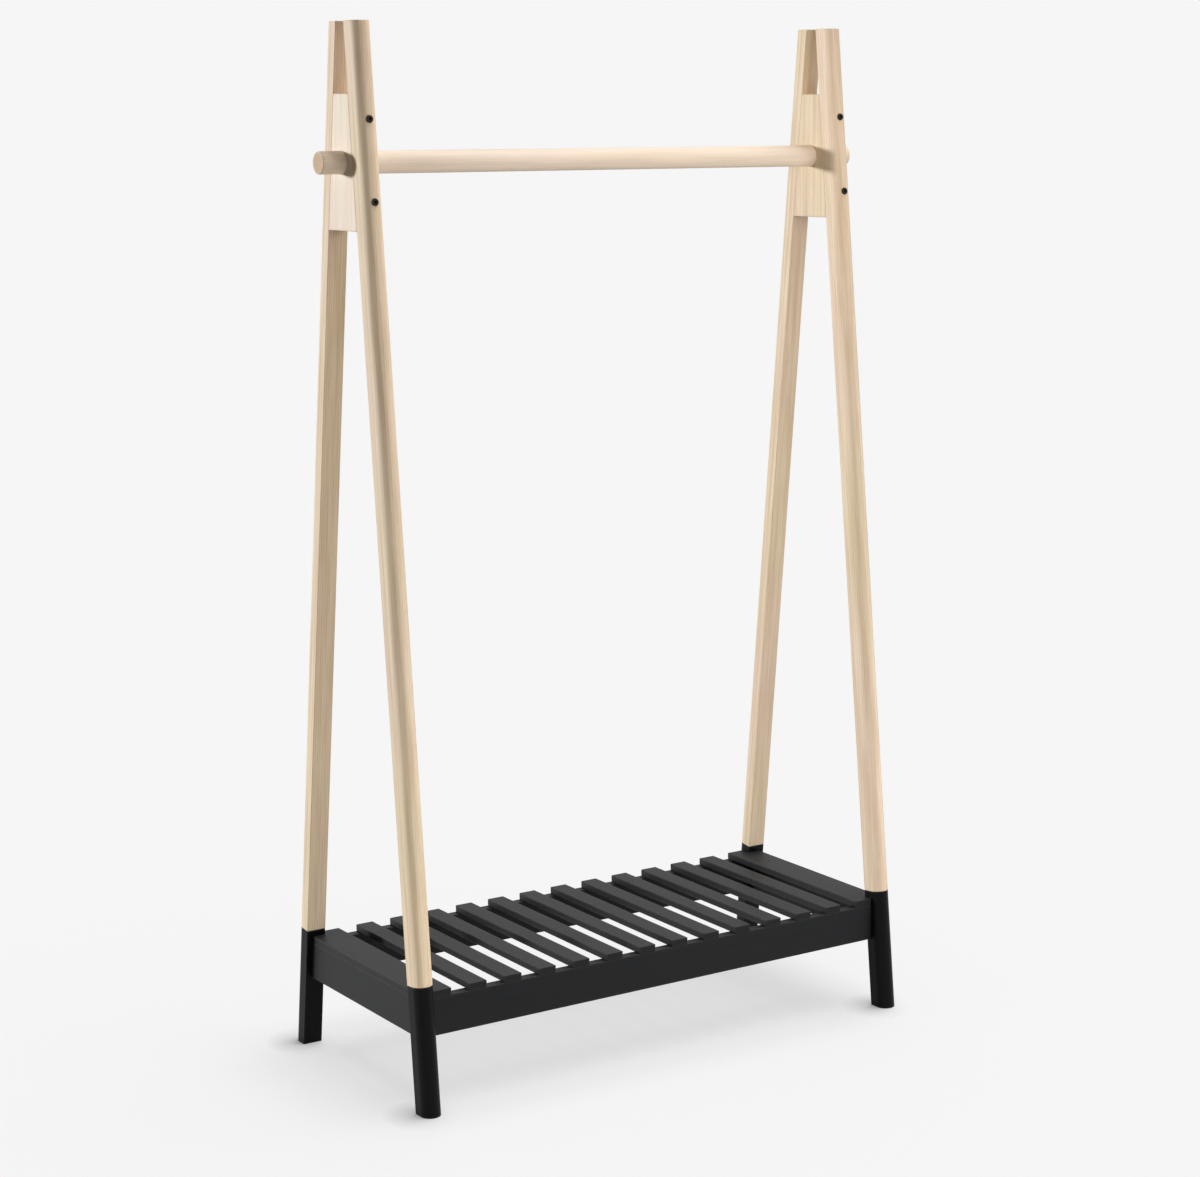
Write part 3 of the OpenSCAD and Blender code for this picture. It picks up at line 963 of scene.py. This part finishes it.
def floor_material():
    """Even to the eye, with a soft shadow of the rack and a painted contact shade at the feet, and
    dimmer, with a painted pool of warm light round the rack, for the rays that light the rack.
    """
    shader = new_material("floor")
    way = shader.node("CombineXYZ", CONTACT_WAY).outputs["Vector"]
    # Painted contact shade: the floor's colour darkens where the feet are close, towards the floor's lamp
    near = shader.node("AmbientOcclusion", {"Distance": CONTACT_REACH, "Normal": way}, samples=8)
    tone = shader.mix(shader.spread(near.outputs["AO"], 0, 1, 1 - CONTACT_TAKES, 1), BLACK, BACKGROUND)
    shade = shader.node("BsdfDiffuse", {"Color": shader.mix(FLOOR_TAKES, BLACK, tone)}).outputs[0]
    glow = shader.node("Emission", {"Color": tone, "Strength": 1 - FLOOR_TAKES * FLOOR_LIGHT}).outputs[0]
    both = shader.node("AddShader", {0: shade, 1: glow}).outputs[0]
    place = shader.node("TexCoord").outputs["Object"]
    away = shader.node("VectorMath", {0: place}, operation="LENGTH").outputs["Value"]
    # Painted pool of light: warm and bright round the rack, dark far off, seen only by the rays that
    # light the rack
    thrown = shader.mix(shader.spread(away, POOL_NEAR, POOL_FAR), POOL_TONE, FAR_TONE)
    plain = shader.node("BsdfDiffuse", {"Color": thrown}).outputs[0]
    return shader.show(shader.choose(shader.seen(), plain, both))


def floor():
    """Wide pale floor. Gives its object."""
    mesh = bpy.data.meshes.new("floor")
    signs = ((-1, -1), (1, -1), (1, 1), (-1, 1))
    mesh.from_pydata([(x * FLOOR_HALF, y * FLOOR_HALF, 0) for x, y in signs], [], [(0, 1, 2, 3)])
    mesh.materials.append(floor_material())
    piece = add_object("floor", mesh)
    piece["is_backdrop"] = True
    return piece


def world():
    """Pale background for what looks at it, and a low even light on the rack."""
    made = bpy.data.worlds.new("world")
    bpy.context.scene.world = made
    shader = Shader(made, "OutputWorld")
    backdrop = shader.node("Background", {"Color": BACKGROUND}).outputs[0]
    ambient = shader.node("Background", {"Color": AMBIENT_TONE, "Strength": AMBIENT}).outputs[0]
    shader.show(shader.choose(shader.seen(), ambient, backdrop))


# Lights

DAYLIGHT = "#fbfdff"
FLOOR_DAYLIGHT = "#fafcff"
WARM_WHITE = "#fff6ea"
WHITE = "#ffffff"


def soft_sun(name, towards, strength, angle, colour):
    """Even light from the direction called towards, with shadows as soft as its angle in degrees."""
    data = bpy.data.lights.new(name, "SUN")
    data.energy = strength
    data.angle = math.radians(angle)
    data.color = rgb(colour)[:3]
    made = add_object(name, data)
    made.rotation_euler = Vector(towards).to_track_quat("Z", "Y").to_euler()
    return made


def soft_box(name, place, aim, size, power, colour, glossy=False):
    """Area lamp at a place, turned towards the point called aim, and seen in shine only if glossy."""
    data = bpy.data.lights.new(name, "AREA")
    data.shape = "RECTANGLE"
    data.size, data.size_y = size
    data.energy = power
    data.color = rgb(colour)[:3]
    made = add_object(name, data)
    made.location = place
    made.rotation_euler = (Vector(place) - Vector(aim)).to_track_quat("Z", "Y").to_euler()
    made.visible_camera = False
    made.visible_glossy = glossy
    return made


def light_only(name, objects, lamps):
    """Lets the lamps light these objects alone."""
    lit = bpy.data.collections.new(name)
    bpy.context.scene.collection.children.link(lit)
    for piece in objects:
        lit.objects.link(piece)
    for lamp in lamps:
        lamp.light_linking.receiver_collection = lit


def lights(ground):
    """Key from behind on the left, light from above, weak boxes in front, and a lamp for the floor.

    Places and sizes are in metres, powers in watts and angles in degrees.
    """
    on_rack = [
        soft_box("key_light", place=(-4.8, 3.3, 1.85), aim=(0, 0, 0.9), size=(0.6, 0.6),
                 power=318, colour=DAYLIGHT, glossy=True),
        soft_sun("top_light", towards=(0.36, -0.12, 1.0), strength=2.52, angle=30, colour=DAYLIGHT),
        soft_box("rail_light", place=(0.12, -0.65, 1.45), aim=(0.02, 0, 1.3), size=(0.7, 0.3),
                 power=2.6, colour=WARM_WHITE),
        soft_box("right_light", place=(0.85, -1.2, 0.4), aim=(0.4, 0.1, 0.4), size=(0.5, 0.7),
                 power=7.2, colour=WHITE),
        soft_box("left_light", place=(-0.5, -1.3, 0.3), aim=(-0.42, -0.1, 0.4), size=(0.5, 0.5),
                 power=5.6, colour=WHITE)]
    on_floor = soft_sun(
        "floor_light", towards=(0.29, -0.04, 1.0), strength=3.39, angle=68, colour=FLOOR_DAYLIGHT)
    light_only("rack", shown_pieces(), on_rack)
    light_only("ground", [ground], [on_floor])


# Assembly

def dress_rack():
    """Makes every piece of the rack that can be seen."""
    pale, steel = pale_wood("pale_wood"), black_steel()
    black = black_paint("black_paint", smoothest=0.46, specular=0.21)
    # The lower legs have a darker copy of the paint, with painted shade
    leg_black = black_paint("black_paint.leg", smoothest=0.32, specular=0.09, painted_shade=0.6)
    rail_wood = pale_wood("pale_wood.rail", paler=0.35)
    # The left block has a paler copy of the wood as painted light, so that it is brighter than the right
    # block
    block_wood = {"left": pale_wood("pale_wood.left_block", paler=0.35), "right": pale}
    for side in SIDES:
        for row in ROWS:
            upper_leg(side, row, pale)
            lower_leg(side, row, leg_black)
        head_block(side, block_wood[side])
        head_bolts(side, steel)
        side_apron(side, black)
        end_slat(side, black)
    hanging_rail(rail_wood)
    for row in ROWS:
        long_apron(row, black)
    for node in sorted(n for n in frame["nodes"] if n.removeprefix("slat_").isdigit()):
        slat(node, black)


def finish_cad_nodes():
    """Gives the hidden fasteners and dowels, which stay as solids, their finish."""
    plated, dowels = plated_steel(), dowel_wood()
    finishes = {
        "left_block_inserts": plated, "right_block_inserts": plated,
        "leg_joint_studs": plated, "leg_joint_inserts": plated,
        "apron_dowels": dowels, "slat_pins": dowels}
    for name, material in finishes.items():
        mesh = frame["nodes"][name].data
        mesh.materials.clear()
        mesh.materials.append(material)


camera()
dress_rack()
finish_cad_nodes()
ground = floor()
world()
lights(ground)
bpy.context.scene.view_settings.view_transform = "Standard"
